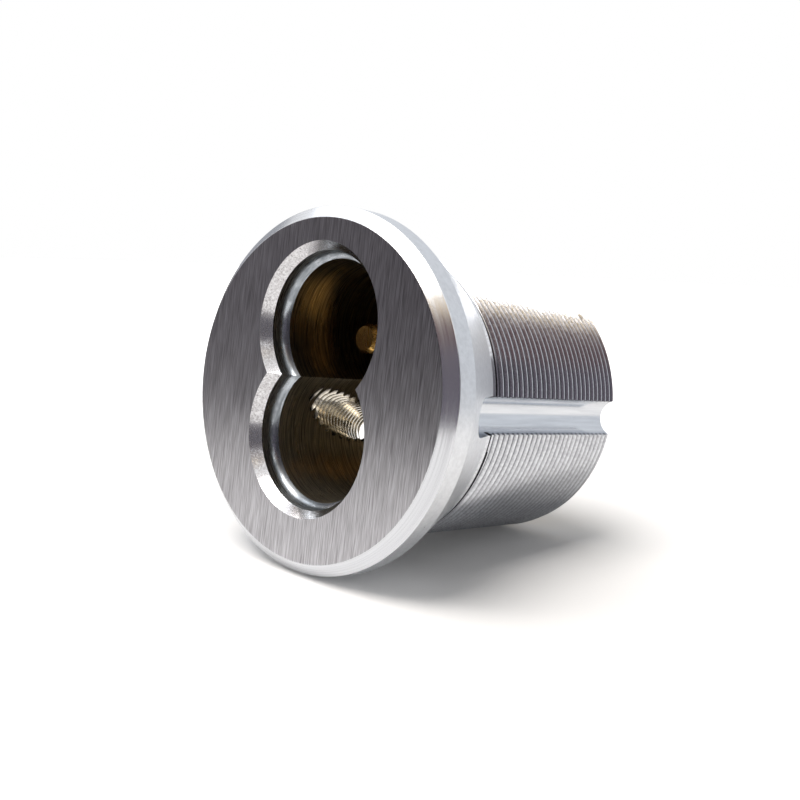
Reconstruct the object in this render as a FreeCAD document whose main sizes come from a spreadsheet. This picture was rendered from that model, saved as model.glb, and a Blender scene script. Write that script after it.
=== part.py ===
import FreeCAD, Part
import math
import os
import Sketcher

# Mortise cylinder housing for an interchangeable figure-8 core.
# The housing's axis runs along Y: the front face looks towards -Y and the cam end towards +Y.
# +Z is up, through the lobe that takes the plug; +X is to the right, seen from the front.
# Depths are measured from the front face; origin_depth moves every piece so that the row's
# origin lies on the axis, half way along the thread. Millimetres and degrees throughout.

SIZES = {
    "origin_depth": 21.0,
    # turned outside of the housing, front to back
    "head_overhang": 3.22,
    "bevel_width": 1.2,
    "bevel_length": 1.0,
    "rim_length": 2.1,
    "taper_length": 6.4,
    "land_height": 0.32,
    "land_length": 0.45,
    "relief_depth": 0.58,
    "relief_length": 0.5,
    "thread_lead": 0.25,
    "thread_chamfer": 0.45,
    # figure-8 chamber and its stepped mouth
    "plug_height": 6.3,
    "pin_lobe_drop": 4.2,
    "lobe_radius": 6.8,
    "chamber_wall": 1.58,
    "ledge_width": 0.65,
    "ledge_length": 0.45,
    "flange_wall_length": 1.3,
    "mouth_width": 0.75,
    "mouth_length": 1.1,
    "chamber_depth": 25.0,
    # recess for the core's control lug, beside the waist
    "lug_recess_depth": 2.1,
    "lug_start": 10.0,
    "lug_length": 6.0,
    "lug_low_angle": 78.0,
    "lug_high_angle": 18.0,
    # set-screw grooves at three and nine o'clock
    "side_groove_radius": 1.87,
    "side_groove_depth": 1.65,
    "side_groove_start": 6.9,
    # slanting tapped hole from the chamber out through the left side
    "tap_radius": 2.05,
    "tap_cross_depth": 1.6,
    "tap_tilt": 28.0,
    "tap_roll": 27.2,
    # behind the chamber: web, bore for the throw member, groove for its ring
    "web_thickness": 1.5,
    "throw_bore_length": 5.25,
    "running_gap": 0.05,
    "bore_chamfer": 0.3,
    "ring_groove_depth": 0.5,
    "ring_clearance": 0.1,
    "ring_play": 0.1,
    "ring_gap": 0.05,
    "ring_thickness": 0.8,
    "ring_width": 1.15,
    "ring_open_half_angle": 20.0,
    # throw member
    "nose_clearance": 0.15,
    "pin_wall": 0.45,
    "throw_flange_height": 1.3,
    "throw_flange_thickness": 1.65,
    "throw_edge": 0.25,
    "screw_wall": 0.28,
    # throw pins
    "pin_radius": 1.6,
    "pin_tip_bevel": 0.32,
    "pin_tip_length": 0.45,
    "pin_reach": 14.9,
    "pin_inset": 0.2,
    "pin_circle": 3.2,
    "pin_angle": 14.0,
    # cam and its screws
    "cam_gap": 0.3,
    "cam_thickness": 1.6,
    "cam_margin": 1.1,
    "cam_tip_radius": 4.2,
    "cam_tip_drop": 15.6,
    "cam_hole_gap": 0.18,
    "screw_offset": 3.3,
    "screw_radius": 1.42,
    "screw_depth": 3.2,
    "screw_hole_spare": 0.3,
    "screw_head_radius": 2.6,
    "screw_head_height": 1.5,
    "screw_head_edge": 0.35,
    "screw_slot_width": 0.7,
    "screw_slot_depth": 0.8,
    # how far cutting profiles run past an open end
    "overrun": 1.0,
}

# Depths and radii that several features share, as sums of the sizes above.
THREAD_RADIUS = ("plug_height", "lobe_radius", "chamber_wall")
RIM_RADIUS = THREAD_RADIUS + ("head_overhang",)
LAND_RADIUS = THREAD_RADIUS + ("land_height",)
RIM_END = ("bevel_length", "rim_length")
TAPER_END = RIM_END + ("taper_length",)
LAND_END = TAPER_END + ("land_length",)
RELIEF_END = LAND_END + ("relief_length",)
WEB_END = ("chamber_depth", "web_thickness")
REAR = WEB_END + ("throw_bore_length",)
NOSE_START = ("chamber_depth", "nose_clearance")
NOSE_RADIUS = ("pin_circle", "pin_radius", "pin_wall")
FLANGE_START = WEB_END + ("running_gap",)
FLANGE_END = FLANGE_START + ("throw_flange_thickness",)
FLANGE_RADIUS = NOSE_RADIUS + ("throw_flange_height",)
BORE_RADIUS = FLANGE_RADIUS + ("running_gap",)
RING_GROOVE_START = FLANGE_END + ("ring_clearance",)
RING_GROOVE_RADIUS = BORE_RADIUS + ("ring_groove_depth",)
RING_RADIUS = RING_GROOVE_RADIUS + ("-ring_gap",)
HUB_RADIUS = ("screw_offset", "screw_radius", "screw_wall")
HUB_END = REAR + ("cam_gap",)
PIN_ROOT = FLANGE_END + ("-pin_inset",)
SIDE_GROOVE_CENTRE = THREAD_RADIUS + ("-side_groove_depth", "side_groove_radius")

doc = FreeCAD.newDocument("mortise_cylinder_housing")
sheet = doc.addObject("Spreadsheet::Sheet", "sizes")
for row, (alias, number) in enumerate(SIZES.items(), start=1):
    sheet.set("A%d" % row, alias)
    sheet.set("B%d" % row, repr(number))
    sheet.setAlias("B%d" % row, alias)
doc.recompute()


def span(*terms):
    """Sum of named sizes, as a number and as the expression that keeps it bound."""
    number = 0.0
    text = ""
    for term in terms:
        minus = term.startswith("-")
        alias = term.lstrip("-")
        number += -SIZES[alias] if minus else SIZES[alias]
        text += (" - " if minus else " + ") + "sizes." + alias
    return number, text.strip(" +") if not text.startswith(" -") else "0" + text


def bind(thing, prop, text):
    thing.setExpression(prop, text)


def new_body(label):
    body = doc.addObject("PartDesign::Body", label)
    body.Label = label
    return body


def origin_feature(body, role):
    return next(item for item in body.Origin.OriginFeatures if item.Role == role)


def new_sketch(body, name, plane):
    sketch = body.newObject("Sketcher::SketchObject", name)
    sketch.AttachmentSupport = (origin_feature(body, plane), [""])
    sketch.MapMode = "FlatFace"
    return sketch


def dimension(sketch, constraint, name, text):
    index = sketch.addConstraint(constraint)
    sketch.renameConstraint(index, name)
    bind(sketch, "Constraints." + name, text)


def fix_point(sketch, edge, end, name, along, up):
    """Holds one sketch point at sums of named sizes; an empty sum lies on the axis."""
    for terms, kind, axis in ((along, "DistanceX", -2), (up, "DistanceY", -1)):
        if not terms:
            sketch.addConstraint(Sketcher.Constraint("PointOnObject", edge, end, axis))
            continue
        number, text = span(*terms)
        constraint = Sketcher.Constraint(kind, -1, 1, edge, end, number)
        dimension(sketch, constraint, name + ("_along" if axis == -2 else "_up"), text)


def corner_xy(corner):
    return FreeCAD.Vector(span(*corner[0])[0], span(*corner[1])[0], 0)


def turned_profile(body, name, plane, corners):
    """Closed outline; its last edge runs along the turning axis, which Axis0 repeats."""
    sketch = new_sketch(body, name, plane)
    count = len(corners)
    for index in range(count):
        start = corner_xy(corners[index])
        end = corner_xy(corners[(index + 1) % count])
        sketch.addGeometry(Part.LineSegment(start, end), False)
    for index in range(count):
        following = (index + 1) % count
        sketch.addConstraint(Sketcher.Constraint("Coincident", index, 2, following, 1))
    for index, corner in enumerate(corners):
        along, up = corner
        previous = corners[index - 1] if index else (None, None)
        if along and along == previous[0]:
            sketch.addConstraint(Sketcher.Constraint("Vertical", index - 1))
            along = None
        if up and up == previous[1]:
            sketch.addConstraint(Sketcher.Constraint("Horizontal", index - 1))
            up = None
        for terms, kind, axis, tail in ((along, "DistanceX", -2, "_along"), (up, "DistanceY", -1, "_up")):
            if terms is None:
                continue
            if not terms:
                sketch.addConstraint(Sketcher.Constraint("PointOnObject", index, 1, axis))
                continue
            number, text = span(*terms)
            held = Sketcher.Constraint(kind, -1, 1, index, 1, number)
            dimension(sketch, held, "corner%d%s" % (index, tail), text)
    last = corner_xy(corners[-1])
    first = corner_xy(corners[0])
    axis_line = sketch.addGeometry(Part.LineSegment(last, first), True)
    sketch.addConstraint(Sketcher.Constraint("Coincident", axis_line, 1, count - 1, 1))
    sketch.addConstraint(Sketcher.Constraint("Coincident", axis_line, 2, 0, 1))
    return sketch


def turn(body, kind, name, sketch):
    feature = body.newObject("PartDesign::" + kind, name)
    feature.Profile = sketch
    feature.ReferenceAxis = (sketch, ["Axis0"])
    feature.Angle = 360
    sketch.Visibility = False
    doc.recompute()
    return feature


def circle_sketch(body, name, radius, up):
    """One circle on the body's XZ plane, straight above its axis."""
    sketch = new_sketch(body, name, "XZ_Plane")
    number, text = span(*radius)
    centre = FreeCAD.Vector(0, span(*up)[0], 0)
    ring = sketch.addGeometry(Part.Circle(centre, FreeCAD.Vector(0, 0, 1), number), False)
    dimension(sketch, Sketcher.Constraint("Radius", ring, number), "ring_radius", text)
    fix_point(sketch, ring, 3, "centre", (), up)
    return sketch


def cut(body, name, sketch, length_text, reverse=False):
    pocket = body.newObject("PartDesign::Pocket", name)
    pocket.Profile = sketch
    pocket.Length = 1
    bind(pocket, "Length", length_text)
    pocket.Reversed = reverse
    sketch.Visibility = False
    doc.recompute()
    return pocket


def push_back(sketch, terms):
    """Moves a sketch on the XZ plane to a depth behind it (the plane's normal is -Y)."""
    number, text = span(*terms)
    sketch.AttachmentOffset = FreeCAD.Placement(FreeCAD.Vector(0, 0, -number), FreeCAD.Rotation())
    bind(sketch, "AttachmentOffset.Base.z", "-(" + text + ")")


def place(body, along="", depth=(), up=""):
    """Every piece shares one frame: depths count from origin_depth."""
    if along:
        bind(body, "Placement.Base.x", along)
    bind(body, "Placement.Base.y", span(*depth, "-origin_depth")[1])
    if up:
        bind(body, "Placement.Base.z", up)


# The housing, one piece machined from bar.

def outside_corners():
    relief_radius = THREAD_RADIUS + ("-relief_depth",)
    return [
        ((), ()),
        (RIM_RADIUS + ("-bevel_width",), ()),
        (RIM_RADIUS, ("bevel_length",)),
        (RIM_RADIUS, RIM_END),
        (LAND_RADIUS, TAPER_END),
        (LAND_RADIUS, LAND_END),
        (relief_radius, LAND_END),
        (relief_radius, RELIEF_END),
        (THREAD_RADIUS, RELIEF_END + ("thread_lead",)),
        (THREAD_RADIUS, REAR + ("-thread_chamfer",)),
        (THREAD_RADIUS + ("-thread_chamfer",), REAR),
        ((), REAR),
    ]


def lobe_corners(axis):
    """Mouth bevel, wall for the core's front flange, ledge and bore of one lobe."""
    lobe = axis + ("lobe_radius",)
    flange_wall = lobe + ("ledge_width",)
    mouth = flange_wall + ("mouth_width",)
    flange_wall_end = ("mouth_length", "flange_wall_length")
    return [
        (("-overrun",), axis),
        (("-overrun",), mouth),
        ((), mouth),
        (("mouth_length",), flange_wall),
        (flange_wall_end, flange_wall),
        (flange_wall_end + ("ledge_length",), lobe),
        (("chamber_depth",), lobe),
        (("chamber_depth",), axis),
    ]


def throw_bore_corners():
    """Web bore, bore for the throw's flange and groove for the retaining ring."""
    axis = ("plug_height",)
    web = axis + NOSE_RADIUS + ("running_gap",)
    bore = axis + BORE_RADIUS
    groove = axis + RING_GROOVE_RADIUS
    flare = bore + ("bore_chamfer",)
    groove_end = RING_GROOVE_START + ("ring_thickness", "ring_play")
    return [
        (("chamber_depth", "-overrun"), axis),
        (("chamber_depth", "-overrun"), web),
        (WEB_END, web),
        (WEB_END, bore),
        (RING_GROOVE_START, bore),
        (RING_GROOVE_START, groove),
        (groove_end, groove),
        (groove_end, bore),
        (REAR + ("-bore_chamfer",), bore),
        (REAR, flare),
        (REAR + ("overrun",), flare),
        (REAR + ("overrun",), axis),
    ]


def cut_lug_recess(body):
    """Sector about the plug's axis, reaching past the waist on the right."""
    sketch = new_sketch(body, "lug_recess_outline", "XZ_Plane")
    push_back(sketch, ("lug_start",))
    centre = FreeCAD.Vector(0, SIZES["plug_height"], 0)
    low = math.radians(-SIZES["lug_low_angle"])
    high = math.radians(-SIZES["lug_high_angle"])
    reach, reach_text = span("lobe_radius", "lug_recess_depth")
    circle = Part.Circle(centre, FreeCAD.Vector(0, 0, 1), reach)
    arc = sketch.addGeometry(Part.ArcOfCircle(circle, low, high), False)
    low_point = circle.value(low)
    high_point = circle.value(high)
    low_side = sketch.addGeometry(Part.LineSegment(centre, low_point), False)
    high_side = sketch.addGeometry(Part.LineSegment(high_point, centre), False)
    sketch.addConstraint(Sketcher.Constraint("Coincident", low_side, 1, arc, 3))
    sketch.addConstraint(Sketcher.Constraint("Coincident", high_side, 2, arc, 3))
    sketch.addConstraint(Sketcher.Constraint("Coincident", low_side, 2, arc, 1))
    sketch.addConstraint(Sketcher.Constraint("Coincident", high_side, 1, arc, 2))
    fix_point(sketch, arc, 3, "plug_axis", (), ("plug_height",))
    dimension(sketch, Sketcher.Constraint("Radius", arc, reach), "reach", reach_text)
    dimension(sketch, Sketcher.Constraint("Angle", low_side, low), "low_side", "-sizes.lug_low_angle * 1 deg")
    dimension(
        sketch,
        Sketcher.Constraint("Angle", high_side, 2, -1, 1, high),
        "high_side",
        "-sizes.lug_high_angle * 1 deg",
    )
    return cut(body, "lug_recess", sketch, "sizes.lug_length")


def cut_side_grooves(body):
    """Round-bottomed grooves with a ball-shaped front end, open at the rear.

    A half turn cuts the floor below the ball's centre, and a straight pocket the walls above it.
    """
    radius = SIZES["side_groove_radius"]
    reach, reach_text = span(*SIDE_GROOVE_CENTRE)
    front = SIZES["side_groove_start"]
    end, end_text = span(*REAR, "overrun")
    up = FreeCAD.Vector(0, 0, 1)

    floor = new_sketch(body, "side_groove_floor_outline", "XY_Plane")
    circle = Part.Circle(FreeCAD.Vector(reach, front, 0), up, radius)
    ball = floor.addGeometry(Part.ArcOfCircle(circle, math.pi, 3 * math.pi / 2), False)
    side = floor.addGeometry(
        Part.LineSegment(FreeCAD.Vector(reach - radius, front, 0), FreeCAD.Vector(reach - radius, end, 0)), False)
    close = floor.addGeometry(
        Part.LineSegment(FreeCAD.Vector(reach - radius, end, 0), FreeCAD.Vector(reach, end, 0)), False)
    spine = floor.addGeometry(
        Part.LineSegment(FreeCAD.Vector(reach, end, 0), FreeCAD.Vector(reach, front - radius, 0)), False)
    axis_line = floor.addGeometry(
        Part.LineSegment(FreeCAD.Vector(reach, end, 0), FreeCAD.Vector(reach, front - radius, 0)), True)
    for one, tip, other, tail in ((ball, 1, side, 1), (side, 2, close, 1), (close, 2, spine, 1),
                                  (spine, 2, ball, 2), (axis_line, 1, spine, 1), (axis_line, 2, spine, 2)):
        floor.addConstraint(Sketcher.Constraint("Coincident", one, tip, other, tail))
    floor.addConstraint(Sketcher.Constraint("Vertical", side))
    floor.addConstraint(Sketcher.Constraint("Horizontal", close))
    floor.addConstraint(Sketcher.Constraint("Vertical", spine))
    floor.addConstraint(Sketcher.Constraint("PointOnObject", ball, 3, spine))
    floor.addConstraint(Sketcher.Constraint("Horizontal", ball, 3, ball, 1))
    fix_point(floor, ball, 3, "ball_centre", SIDE_GROOVE_CENTRE, ("side_groove_start",))
    dimension(floor, Sketcher.Constraint("Radius", ball, radius), "ball_radius", "sizes.side_groove_radius")
    dimension(floor, Sketcher.Constraint("DistanceY", -1, 1, close, 1, end), "rear", end_text)
    ball_cut = turn(body, "Groove", "side_groove_floor", floor)
    ball_cut.Midplane = True
    ball_cut.Angle = 180
    doc.recompute()

    wall = new_sketch(body, "side_groove_wall_outline", "YZ_Plane")
    wall.AttachmentOffset = FreeCAD.Placement(FreeCAD.Vector(0, 0, reach), FreeCAD.Rotation())
    bind(wall, "AttachmentOffset.Base.z", reach_text)
    circle = Part.Circle(FreeCAD.Vector(front, 0, 0), up, radius)
    nose = wall.addGeometry(Part.ArcOfCircle(circle, math.pi / 2, 3 * math.pi / 2), False)
    lower = wall.addGeometry(
        Part.LineSegment(FreeCAD.Vector(front, -radius, 0), FreeCAD.Vector(end, -radius, 0)), False)
    back = wall.addGeometry(
        Part.LineSegment(FreeCAD.Vector(end, -radius, 0), FreeCAD.Vector(end, radius, 0)), False)
    upper = wall.addGeometry(
        Part.LineSegment(FreeCAD.Vector(end, radius, 0), FreeCAD.Vector(front, radius, 0)), False)
    for one, tip, other, tail in ((lower, 2, back, 1), (back, 2, upper, 1)):
        wall.addConstraint(Sketcher.Constraint("Coincident", one, tip, other, tail))
    wall.addConstraint(Sketcher.Constraint("Tangent", nose, 2, lower, 1))
    wall.addConstraint(Sketcher.Constraint("Tangent", upper, 2, nose, 1))
    wall.addConstraint(Sketcher.Constraint("Horizontal", lower))
    wall.addConstraint(Sketcher.Constraint("Vertical", back))
    fix_point(wall, nose, 3, "nose_centre", ("side_groove_start",), ())
    dimension(wall, Sketcher.Constraint("Radius", nose, radius), "nose_radius", "sizes.side_groove_radius")
    dimension(wall, Sketcher.Constraint("DistanceX", -1, 1, back, 1, end), "rear", end_text)
    past_rim = span("head_overhang", "side_groove_depth", "-side_groove_radius", "overrun")[1]
    wall_cut = cut(body, "side_groove_wall", wall, past_rim, True)

    twin = body.newObject("PartDesign::Mirrored", "side_groove_twin")
    twin.Originals = [ball_cut, wall_cut]
    twin.MirrorPlane = (origin_feature(body, "YZ_Plane"), [""])
    body.Tip = twin
    doc.recompute()


def cut_tapped_hole(body):
    """Hole turned about its own slanting axis, which crosses the housing's axis in front of the face."""
    sketch = new_sketch(body, "tapped_hole_outline", "XY_Plane")
    swing = 180.0 - SIZES["tap_roll"]
    sketch.AttachmentOffset = FreeCAD.Placement(
        FreeCAD.Vector(0, 0, 0), FreeCAD.Rotation(FreeCAD.Vector(0, 1, 0), swing))
    bind(sketch, "AttachmentOffset.Rotation.Angle", "(180 - sizes.tap_roll) * 1 deg")
    tilt = math.radians(SIZES["tap_tilt"])
    past_thread, past_thread_text = span(*THREAD_RADIUS, "tap_radius", "overrun")
    run = past_thread / math.sin(tilt)
    near = FreeCAD.Vector(0, -SIZES["tap_cross_depth"], 0)
    far = near + FreeCAD.Vector(math.sin(tilt), math.cos(tilt), 0) * run
    offset = FreeCAD.Vector(math.cos(tilt), -math.sin(tilt), 0) * SIZES["tap_radius"]
    axis_edge = sketch.addGeometry(Part.LineSegment(near, far), False)
    far_edge = sketch.addGeometry(Part.LineSegment(far, far + offset), False)
    wall_edge = sketch.addGeometry(Part.LineSegment(far + offset, near + offset), False)
    near_edge = sketch.addGeometry(Part.LineSegment(near + offset, near), False)
    axis_line = sketch.addGeometry(Part.LineSegment(near, far), True)
    for one, tip, other, tail in ((axis_edge, 2, far_edge, 1), (far_edge, 2, wall_edge, 1),
                                  (wall_edge, 2, near_edge, 1), (near_edge, 2, axis_edge, 1),
                                  (axis_line, 1, axis_edge, 1), (axis_line, 2, axis_edge, 2)):
        sketch.addConstraint(Sketcher.Constraint("Coincident", one, tip, other, tail))
    fix_point(sketch, axis_edge, 1, "cross", (), ("-tap_cross_depth",))
    slant = Sketcher.Constraint("Angle", axis_edge, math.pi / 2 - tilt)
    dimension(sketch, slant, "slant", "(90 - sizes.tap_tilt) * 1 deg")
    sketch.addConstraint(Sketcher.Constraint("Parallel", axis_edge, wall_edge))
    sketch.addConstraint(Sketcher.Constraint("Perpendicular", axis_edge, far_edge))
    sketch.addConstraint(Sketcher.Constraint("Perpendicular", axis_edge, near_edge))
    dimension(sketch, Sketcher.Constraint("Distance", far_edge, SIZES["tap_radius"]), "wall", "sizes.tap_radius")
    dimension(sketch, Sketcher.Constraint("Distance", axis_edge, run), "run",
              "(" + past_thread_text + ") / sin(sizes.tap_tilt * 1 deg)")
    return turn(body, "Groove", "tapped_hole", sketch)


def make_housing():
    body = new_body("housing")
    turn(body, "Revolution", "turned_blank", turned_profile(body, "blank_outline", "XY_Plane", outside_corners()))
    plug = turned_profile(body, "plug_lobe_outline", "YZ_Plane", lobe_corners(("plug_height",)))
    turn(body, "Groove", "plug_lobe", plug)
    pins = turned_profile(body, "pin_lobe_outline", "YZ_Plane", lobe_corners(("-pin_lobe_drop",)))
    turn(body, "Groove", "pin_lobe", pins)
    rear = turned_profile(body, "throw_bore_outline", "YZ_Plane", throw_bore_corners())
    turn(body, "Groove", "throw_bore", rear)
    cut_lug_recess(body)
    cut_tapped_hole(body)
    cut_side_grooves(body)
    place(body)
    return body


# The pieces behind the chamber: what turns with the cam, and the ring that holds it in.

def opposite_pair(body, feature, name):
    pattern = body.newObject("PartDesign::PolarPattern", name)
    pattern.Originals = [feature]
    pattern.Axis = (origin_feature(body, "Y_Axis"), [""])
    pattern.Angle = 360
    pattern.Occurrences = 2
    body.Tip = pattern
    doc.recompute()
    return pattern


def make_throw_member():
    body = new_body("throw_member")
    corners = [
        ((), NOSE_START),
        (NOSE_RADIUS, NOSE_START),
        (NOSE_RADIUS, FLANGE_START),
        (FLANGE_RADIUS, FLANGE_START),
        (FLANGE_RADIUS, FLANGE_END),
        (HUB_RADIUS, FLANGE_END),
        (HUB_RADIUS, HUB_END + ("-throw_edge",)),
        (HUB_RADIUS + ("-throw_edge",), HUB_END),
        ((), HUB_END),
    ]
    turn(body, "Revolution", "throw_blank", turned_profile(body, "throw_outline", "XY_Plane", corners))

    pin_hole = new_sketch(body, "pin_hole_outline", "XZ_Plane")
    push_back(pin_hole, NOSE_START)
    angle = math.radians(SIZES["pin_angle"])
    centre = FreeCAD.Vector(SIZES["pin_circle"] * math.cos(angle), SIZES["pin_circle"] * math.sin(angle), 0)
    spoke = pin_hole.addGeometry(Part.LineSegment(FreeCAD.Vector(0, 0, 0), centre), True)
    ring = pin_hole.addGeometry(Part.Circle(centre, FreeCAD.Vector(0, 0, 1), SIZES["pin_radius"]), False)
    pin_hole.addConstraint(Sketcher.Constraint("Coincident", spoke, 1, -1, 1))
    pin_hole.addConstraint(Sketcher.Constraint("Coincident", spoke, 2, ring, 3))
    dimension(pin_hole, Sketcher.Constraint("Distance", spoke, SIZES["pin_circle"]), "circle", "sizes.pin_circle")
    dimension(pin_hole, Sketcher.Constraint("Angle", spoke, angle), "spoke_angle", "sizes.pin_angle * 1 deg")
    dimension(pin_hole, Sketcher.Constraint("Radius", ring, SIZES["pin_radius"]), "press_radius", "sizes.pin_radius")
    depth = span("web_thickness", "running_gap", "throw_flange_thickness", "-pin_inset", "-nose_clearance")[1]
    hole = cut(body, "pin_hole", pin_hole, depth)
    opposite_pair(body, hole, "pin_holes")

    screw_hole = circle_sketch(body, "screw_hole_outline", ("screw_radius",), ("screw_offset",))
    push_back(screw_hole, HUB_END)
    hole = cut(body, "screw_hole", screw_hole, span("screw_depth", "screw_hole_spare")[1], True)
    opposite_pair(body, hole, "screw_holes")
    place(body, up="sizes.plug_height")
    return body


def make_throw_pin(label, side):
    body = new_body(label)
    tip = ("chamber_depth", "-pin_reach")
    corners = [
        ((), tip),
        (("pin_radius", "-pin_tip_bevel"), tip),
        (("pin_radius",), tip + ("pin_tip_length",)),
        (("pin_radius",), PIN_ROOT),
        ((), PIN_ROOT),
    ]
    turn(body, "Revolution", label + "_turned", turned_profile(body, label + "_outline", "XY_Plane", corners))
    sign = "" if side > 0 else "-"
    place(
        body,
        along=sign + "sizes.pin_circle * cos(sizes.pin_angle * 1 deg)",
        up="sizes.plug_height %s sizes.pin_circle * sin(sizes.pin_angle * 1 deg)" % ("+" if side > 0 else "-"),
    )
    return body


def make_retaining_ring():
    """Flat C-shaped ring, open at the top."""
    body = new_body("retaining_ring")
    sketch = new_sketch(body, "ring_outline", "XZ_Plane")
    push_back(sketch, RING_GROOVE_START + ("ring_gap",))
    outer, outer_text = span(*RING_RADIUS)
    inner, inner_text = span(*RING_RADIUS, "-ring_width")
    half = math.radians(SIZES["ring_open_half_angle"])
    start = math.pi / 2 + half
    end = 5 * math.pi / 2 - half
    up = FreeCAD.Vector(0, 0, 1)
    middle = FreeCAD.Vector(0, 0, 0)
    outer_circle = Part.Circle(middle, up, outer)
    inner_circle = Part.Circle(middle, up, inner)
    outer_arc = sketch.addGeometry(Part.ArcOfCircle(outer_circle, start, end), False)
    inner_arc = sketch.addGeometry(Part.ArcOfCircle(inner_circle, start, end), False)
    left = sketch.addGeometry(Part.LineSegment(inner_circle.value(start), outer_circle.value(start)), False)
    right = sketch.addGeometry(Part.LineSegment(inner_circle.value(end), outer_circle.value(end)), False)
    for one, tip, other, tail in ((left, 2, outer_arc, 1), (left, 1, inner_arc, 1),
                                  (right, 2, outer_arc, 2), (right, 1, inner_arc, 2)):
        sketch.addConstraint(Sketcher.Constraint("Coincident", one, tip, other, tail))
    for arc in (outer_arc, inner_arc):
        sketch.addConstraint(Sketcher.Constraint("Coincident", arc, 3, -1, 1))
    dimension(sketch, Sketcher.Constraint("Radius", outer_arc, outer), "outer", outer_text)
    dimension(sketch, Sketcher.Constraint("Radius", inner_arc, inner), "inner", inner_text)
    dimension(sketch, Sketcher.Constraint("Angle", left, start), "left_end",
              "(90 + sizes.ring_open_half_angle) * 1 deg")
    dimension(sketch, Sketcher.Constraint("Angle", right, math.pi / 2 - half), "right_end",
              "(90 - sizes.ring_open_half_angle) * 1 deg")
    pad = body.newObject("PartDesign::Pad", "ring_blank")
    pad.Profile = sketch
    pad.Length = 1
    bind(pad, "Length", "sizes.ring_thickness")
    pad.Reversed = True
    sketch.Visibility = False
    doc.recompute()
    place(body, up="sizes.plug_height")
    return body


def make_cam():
    """Flat teardrop that hangs from the throw member's hub."""
    body = new_body("cam")
    hub, hub_text = span("screw_offset", "screw_head_radius", "cam_margin")
    tip = SIZES["cam_tip_radius"]
    drop = SIZES["cam_tip_drop"]
    up = FreeCAD.Vector(0, 0, 1)
    lean = math.asin((hub - tip) / drop)
    sketch = new_sketch(body, "cam_outline", "XZ_Plane")
    hub_circle = Part.Circle(FreeCAD.Vector(0, 0, 0), up, hub)
    tip_circle = Part.Circle(FreeCAD.Vector(0, -drop, 0), up, tip)
    hub_arc = sketch.addGeometry(Part.ArcOfCircle(hub_circle, -lean, math.pi + lean), False)
    tip_arc = sketch.addGeometry(Part.ArcOfCircle(tip_circle, math.pi + lean, 2 * math.pi - lean), False)
    left = sketch.addGeometry(
        Part.LineSegment(hub_circle.value(math.pi + lean), tip_circle.value(math.pi + lean)), False)
    right = sketch.addGeometry(
        Part.LineSegment(tip_circle.value(-lean), hub_circle.value(-lean)), False)
    sketch.addConstraint(Sketcher.Constraint("Tangent", hub_arc, 2, left, 1))
    sketch.addConstraint(Sketcher.Constraint("Tangent", left, 2, tip_arc, 1))
    sketch.addConstraint(Sketcher.Constraint("Tangent", tip_arc, 2, right, 1))
    sketch.addConstraint(Sketcher.Constraint("Tangent", right, 2, hub_arc, 1))
    sketch.addConstraint(Sketcher.Constraint("Coincident", hub_arc, 3, -1, 1))
    fix_point(sketch, tip_arc, 3, "tip_centre", (), ("-cam_tip_drop",))
    dimension(sketch, Sketcher.Constraint("Radius", hub_arc, hub), "hub_radius", hub_text)
    dimension(sketch, Sketcher.Constraint("Radius", tip_arc, tip), "tip_radius", "sizes.cam_tip_radius")
    pad = body.newObject("PartDesign::Pad", "cam_blank")
    pad.Profile = sketch
    pad.Length = 1
    bind(pad, "Length", "sizes.cam_thickness")
    pad.Reversed = True
    sketch.Visibility = False
    doc.recompute()
    hole_radius = ("screw_radius", "cam_hole_gap")
    hole_outline = circle_sketch(body, "cam_hole_outline", hole_radius, ("screw_offset",))
    hole = cut(body, "cam_hole", hole_outline, "sizes.cam_thickness + sizes.overrun")
    opposite_pair(body, hole, "cam_holes")
    place(body, depth=HUB_END, up="sizes.plug_height")
    return body


def make_cam_screw(label, side):
    """Cheese-head screw; its seat under the head is the cam's rear face."""
    body = new_body(label)
    corners = [
        ((), ("-cam_thickness", "-screw_depth")),
        (("screw_radius",), ("-cam_thickness", "-screw_depth")),
        (("screw_radius",), ()),
        (("screw_head_radius",), ()),
        (("screw_head_radius",), ("screw_head_height", "-screw_head_edge")),
        (("screw_head_radius", "-screw_head_edge"), ("screw_head_height",)),
        ((), ("screw_head_height",)),
    ]
    turn(body, "Revolution", label + "_turned", turned_profile(body, label + "_outline", "XY_Plane", corners))
    slot = new_sketch(body, label + "_slot_outline", "XZ_Plane")
    push_back(slot, ("screw_head_height",))
    width = SIZES["screw_slot_width"] / 2
    reach = SIZES["screw_head_radius"] + SIZES["overrun"]
    points = [FreeCAD.Vector(x, z, 0) for x, z in
              ((-reach, -width), (reach, -width), (reach, width), (-reach, width))]
    for index in range(4):
        slot.addGeometry(Part.LineSegment(points[index], points[(index + 1) % 4]), False)
    for index in range(4):
        slot.addConstraint(Sketcher.Constraint("Coincident", index, 2, (index + 1) % 4, 1))
        slot.addConstraint(Sketcher.Constraint("Vertical" if index % 2 else "Horizontal", index))
    slot.addConstraint(Sketcher.Constraint("Symmetric", 0, 1, 2, 1, -1, 1))
    dimension(slot, Sketcher.Constraint("DistanceX", 0, 1, 0, 2, 2 * reach), "slot_run",
              "2 * (sizes.screw_head_radius + sizes.overrun)")
    dimension(slot, Sketcher.Constraint("DistanceY", 1, 1, 1, 2, 2 * width), "slot_width",
              "sizes.screw_slot_width")
    cut(body, label + "_slot", slot, "sizes.screw_slot_depth", True)
    place(
        body,
        depth=HUB_END + ("cam_thickness",),
        up="sizes.plug_height %s sizes.screw_offset" % ("+" if side > 0 else "-"),
    )
    return body


pieces = [
    make_housing(),
    make_throw_member(),
    make_throw_pin("throw_pin_right", 1),
    make_throw_pin("throw_pin_left", -1),
    make_retaining_ring(),
    make_cam(),
    make_cam_screw("cam_screw_upper", 1),
    make_cam_screw("cam_screw_lower", -1),
]
doc.recompute()

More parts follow.
